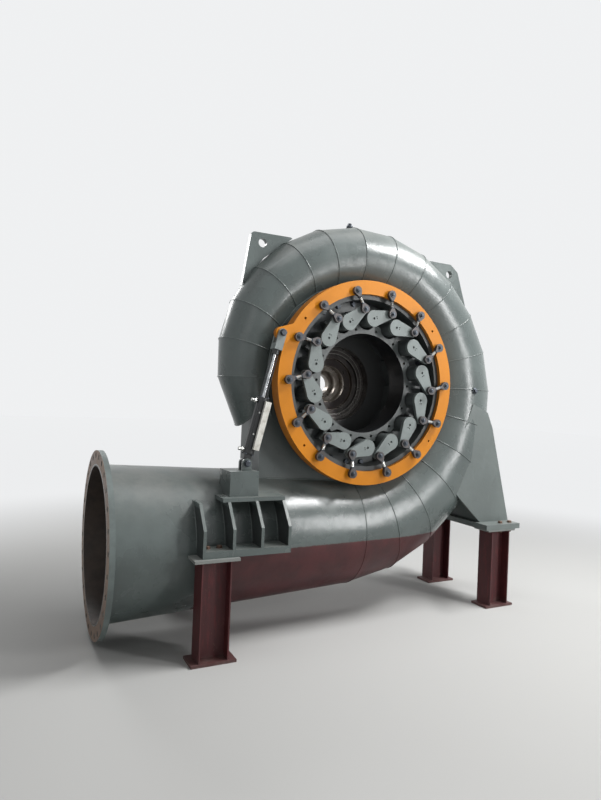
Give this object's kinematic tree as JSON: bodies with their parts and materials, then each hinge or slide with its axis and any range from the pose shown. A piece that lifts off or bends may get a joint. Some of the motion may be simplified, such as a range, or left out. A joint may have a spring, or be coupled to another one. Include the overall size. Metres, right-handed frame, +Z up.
{
  "type": "spiral case with guide-vane gear of a horizontal Francis turbine",
  "caption": "Steel spiral turbine case on beam legs, with a round inlet flange, an open draft flange, guide-vane levers, an operating ring and a servomotor.",
  "frame": {"origin": "on the turbine axis, in the face of the draft-tube flange", "axes": "+Z up; +Y along the turbine axis from the draft-tube side to the shaft side; +X away from the inlet"},
  "size_m": [3.374, 1.31, 3.0649],
  "materials": {
    "case_paint": "worn grey paint with scuffs and dust",
    "cover_paint": "dark grey paint, partly worn",
    "lever_paint": "light grey paint",
    "ring_paint": "orange paint with brown edges",
    "leg_primer": "matt red-brown primer",
    "bare_flange": "turned face with a film of rust",
    "machined_cover": "turned bore, slightly stained",
    "dark_link": "dark phosphated steel",
    "dark_barrel": "black paint",
    "scale_plastic": "off-white cover strip",
    "rod_chrome": "polished rod"
  },
  "bodies": {
    "case": {"inlet_flange": "bare_flange", "inlet_pipe": "case_paint", "spiral_entry": "case_paint", "spiral_right": "case_paint", "spiral_top": "case_paint", "spiral_left": "case_paint", "spiral_tail": "case_paint", "throat_plates": "case_paint", "stay_ring_front": "case_paint", "stay_ring_rear": "case_paint", "stay_vanes": "case_paint", "front_cover": "cover_paint", "ring_collar": "cover_paint", "rear_cover": "machined_cover", "bracket_front": "case_paint", "bracket_rear": "case_paint", "servo_pedestal": "case_paint", "right_foot": "case_paint", "lifting_lugs": "case_paint", "leg_left_front": "leg_primer", "leg_left_rear": "leg_primer", "leg_right_front": "leg_primer", "leg_right_rear": "leg_primer"},
    "gate_ring": {"operating_ring": "ring_paint"},
    "vane_1": {"guide_vane_1": "lever_paint"},
    "vane_2": {"guide_vane_2": "lever_paint"},
    "vane_3": {"guide_vane_3": "lever_paint"},
    "vane_4": {"guide_vane_4": "lever_paint"},
    "vane_5": {"guide_vane_5": "lever_paint"},
    "vane_6": {"guide_vane_6": "lever_paint"},
    "vane_7": {"guide_vane_7": "lever_paint"},
    "vane_8": {"guide_vane_8": "lever_paint"},
    "vane_9": {"guide_vane_9": "lever_paint"},
    "vane_10": {"guide_vane_10": "lever_paint"},
    "vane_11": {"guide_vane_11": "lever_paint"},
    "vane_12": {"guide_vane_12": "lever_paint"},
    "vane_13": {"guide_vane_13": "lever_paint"},
    "vane_14": {"guide_vane_14": "lever_paint"},
    "connecting_link_1": {"link_1": "dark_link"},
    "connecting_link_2": {"link_2": "dark_link"},
    "connecting_link_3": {"link_3": "dark_link"},
    "connecting_link_4": {"link_4": "dark_link"},
    "connecting_link_5": {"link_5": "dark_link"},
    "connecting_link_6": {"link_6": "dark_link"},
    "connecting_link_7": {"link_7": "dark_link"},
    "connecting_link_8": {"link_8": "dark_link"},
    "connecting_link_9": {"link_9": "dark_link"},
    "connecting_link_10": {"link_10": "dark_link"},
    "connecting_link_11": {"link_11": "dark_link"},
    "connecting_link_12": {"link_12": "dark_link"},
    "connecting_link_13": {"link_13": "dark_link"},
    "connecting_link_14": {"link_14": "dark_link"},
    "servo_body": {"servo_barrel": "dark_barrel", "servo_scale": "scale_plastic"},
    "servo_piston": {"servo_rod": "rod_chrome"}
  },
  "joints": [
    {"name": "ring_turn", "type": "hinge", "parent": "case", "child": "gate_ring", "pos_m": [0, 0, 0], "axis": [0, -1, 0], "range_deg": [0, 9]},
    {"name": "vane_turn_1", "type": "hinge", "parent": "case", "child": "vane_1", "pos_m": [-0.20558, -0.089, 0.43927], "axis": [0, -1, 0], "range_deg": [0, 20]},
    {"name": "vane_turn_2", "type": "hinge", "parent": "case", "child": "vane_2", "pos_m": [0.00537, -0.089, 0.48497], "axis": [0, -1, 0], "range_deg": [0, 20]},
    {"name": "vane_turn_3", "type": "hinge", "parent": "case", "child": "vane_3", "pos_m": [0.21526, -0.089, 0.43461], "axis": [0, -1, 0], "range_deg": [0, 20]},
    {"name": "vane_turn_4", "type": "hinge", "parent": "case", "child": "vane_4", "pos_m": [0.38251, -0.089, 0.29818], "axis": [0, -1, 0], "range_deg": [0, 20]},
    {"name": "vane_turn_5", "type": "hinge", "parent": "case", "child": "vane_5", "pos_m": [0.47401, -0.089, 0.10268], "axis": [0, -1, 0], "range_deg": [0, 20]},
    {"name": "vane_turn_6", "type": "hinge", "parent": "case", "child": "vane_6", "pos_m": [0.47162, -0.089, -0.11315], "axis": [0, -1, 0], "range_deg": [0, 20]},
    {"name": "vane_turn_7", "type": "hinge", "parent": "case", "child": "vane_7", "pos_m": [0.37582, -0.089, -0.30657], "axis": [0, -1, 0], "range_deg": [0, 20]},
    {"name": "vane_turn_8", "type": "hinge", "parent": "case", "child": "vane_8", "pos_m": [0.20558, -0.089, -0.43927], "axis": [0, -1, 0], "range_deg": [0, 20]},
    {"name": "vane_turn_9", "type": "hinge", "parent": "case", "child": "vane_9", "pos_m": [-0.00537, -0.089, -0.48497], "axis": [0, -1, 0], "range_deg": [0, 20]},
    {"name": "vane_turn_10", "type": "hinge", "parent": "case", "child": "vane_10", "pos_m": [-0.21526, -0.089, -0.43461], "axis": [0, -1, 0], "range_deg": [0, 20]},
    {"name": "vane_turn_11", "type": "hinge", "parent": "case", "child": "vane_11", "pos_m": [-0.38251, -0.089, -0.29818], "axis": [0, -1, 0], "range_deg": [0, 20]},
    {"name": "vane_turn_12", "type": "hinge", "parent": "case", "child": "vane_12", "pos_m": [-0.47401, -0.089, -0.10268], "axis": [0, -1, 0], "range_deg": [0, 20]},
    {"name": "vane_turn_13", "type": "hinge", "parent": "case", "child": "vane_13", "pos_m": [-0.47162, -0.089, 0.11315], "axis": [0, -1, 0], "range_deg": [0, 20]},
    {"name": "vane_turn_14", "type": "hinge", "parent": "case", "child": "vane_14", "pos_m": [-0.37582, -0.089, 0.30657], "axis": [0, -1, 0], "range_deg": [0, 20]},
    {"name": "link_turn_1", "type": "hinge", "parent": "gate_ring", "child": "connecting_link_1", "pos_m": [-0.16424, -0.1208, 0.67017], "axis": [0, -1, 0], "range_deg": [0, 27]},
    {"name": "link_turn_2", "type": "hinge", "parent": "gate_ring", "child": "connecting_link_2", "pos_m": [0.1428, -0.1208, 0.67506], "axis": [0, -1, 0], "range_deg": [0, 27]},
    {"name": "link_turn_3", "type": "hinge", "parent": "gate_ring", "child": "connecting_link_3", "pos_m": [0.42156, -0.1208, 0.54625], "axis": [0, -1, 0], "range_deg": [0, 27]},
    {"name": "link_turn_4", "type": "hinge", "parent": "gate_ring", "child": "connecting_link_4", "pos_m": [0.61682, -0.1208, 0.30925], "axis": [0, -1, 0], "range_deg": [0, 27]},
    {"name": "link_turn_5", "type": "hinge", "parent": "gate_ring", "child": "connecting_link_5", "pos_m": [0.68991, -0.1208, 0.01099], "axis": [0, -1, 0], "range_deg": [0, 27]},
    {"name": "link_turn_6", "type": "hinge", "parent": "gate_ring", "child": "connecting_link_6", "pos_m": [0.62636, -0.1208, -0.28944], "axis": [0, -1, 0], "range_deg": [0, 27]},
    {"name": "link_turn_7", "type": "hinge", "parent": "gate_ring", "child": "connecting_link_7", "pos_m": [0.43875, -0.1208, -0.53254], "axis": [0, -1, 0], "range_deg": [0, 27]},
    {"name": "link_turn_8", "type": "hinge", "parent": "gate_ring", "child": "connecting_link_8", "pos_m": [0.16424, -0.1208, -0.67017], "axis": [0, -1, 0], "range_deg": [0, 27]},
    {"name": "link_turn_9", "type": "hinge", "parent": "gate_ring", "child": "connecting_link_9", "pos_m": [-0.1428, -0.1208, -0.67506], "axis": [0, -1, 0], "range_deg": [0, 27]},
    {"name": "link_turn_10", "type": "hinge", "parent": "gate_ring", "child": "connecting_link_10", "pos_m": [-0.42156, -0.1208, -0.54625], "axis": [0, -1, 0], "range_deg": [0, 27]},
    {"name": "link_turn_11", "type": "hinge", "parent": "gate_ring", "child": "connecting_link_11", "pos_m": [-0.61682, -0.1208, -0.30925], "axis": [0, -1, 0], "range_deg": [0, 27]},
    {"name": "link_turn_12", "type": "hinge", "parent": "gate_ring", "child": "connecting_link_12", "pos_m": [-0.68991, -0.1208, -0.01099], "axis": [0, -1, 0], "range_deg": [0, 27]},
    {"name": "link_turn_13", "type": "hinge", "parent": "gate_ring", "child": "connecting_link_13", "pos_m": [-0.62636, -0.1208, 0.28944], "axis": [0, -1, 0], "range_deg": [0, 27]},
    {"name": "link_turn_14", "type": "hinge", "parent": "gate_ring", "child": "connecting_link_14", "pos_m": [-0.43875, -0.1208, 0.53254], "axis": [0, -1, 0], "range_deg": [0, 27]},
    {"name": "servo_swing", "type": "hinge", "parent": "case", "child": "servo_body", "pos_m": [-0.973, -0.078, -0.591], "axis": [0, -1, 0], "range_deg": [0, 1]},
    {"name": "rod_slide", "type": "slide", "parent": "servo_body", "child": "servo_piston", "axis": [0.2417, 0, 0.9703], "range_m": [-0.13, 0]}
  ],
  "couplings": [
    {"joint": "vane_turn_1", "follows": "ring_turn", "ratio": 2.217},
    {"joint": "vane_turn_2", "follows": "ring_turn", "ratio": 2.217},
    {"joint": "vane_turn_3", "follows": "ring_turn", "ratio": 2.217},
    {"joint": "vane_turn_4", "follows": "ring_turn", "ratio": 2.217},
    {"joint": "vane_turn_5", "follows": "ring_turn", "ratio": 2.217},
    {"joint": "vane_turn_6", "follows": "ring_turn", "ratio": 2.217},
    {"joint": "vane_turn_7", "follows": "ring_turn", "ratio": 2.217},
    {"joint": "vane_turn_8", "follows": "ring_turn", "ratio": 2.217},
    {"joint": "vane_turn_9", "follows": "ring_turn", "ratio": 2.217},
    {"joint": "vane_turn_10", "follows": "ring_turn", "ratio": 2.217},
    {"joint": "vane_turn_11", "follows": "ring_turn", "ratio": 2.217},
    {"joint": "vane_turn_12", "follows": "ring_turn", "ratio": 2.217},
    {"joint": "vane_turn_13", "follows": "ring_turn", "ratio": 2.217},
    {"joint": "vane_turn_14", "follows": "ring_turn", "ratio": 2.217},
    {"joint": "link_turn_1", "follows": "ring_turn", "ratio": 2.978},
    {"joint": "link_turn_2", "follows": "ring_turn", "ratio": 2.978},
    {"joint": "link_turn_3", "follows": "ring_turn", "ratio": 2.978},
    {"joint": "link_turn_4", "follows": "ring_turn", "ratio": 2.978},
    {"joint": "link_turn_5", "follows": "ring_turn", "ratio": 2.978},
    {"joint": "link_turn_6", "follows": "ring_turn", "ratio": 2.978},
    {"joint": "link_turn_7", "follows": "ring_turn", "ratio": 2.978},
    {"joint": "link_turn_8", "follows": "ring_turn", "ratio": 2.978},
    {"joint": "link_turn_9", "follows": "ring_turn", "ratio": 2.978},
    {"joint": "link_turn_10", "follows": "ring_turn", "ratio": 2.978},
    {"joint": "link_turn_11", "follows": "ring_turn", "ratio": 2.978},
    {"joint": "link_turn_12", "follows": "ring_turn", "ratio": 2.978},
    {"joint": "link_turn_13", "follows": "ring_turn", "ratio": 2.978},
    {"joint": "link_turn_14", "follows": "ring_turn", "ratio": 2.978},
    {"joint": "servo_swing", "follows": "ring_turn", "ratio": 0.08},
    {"joint": "rod_slide", "follows": "ring_turn", "m_per_rad": -0.8045}
  ]
}
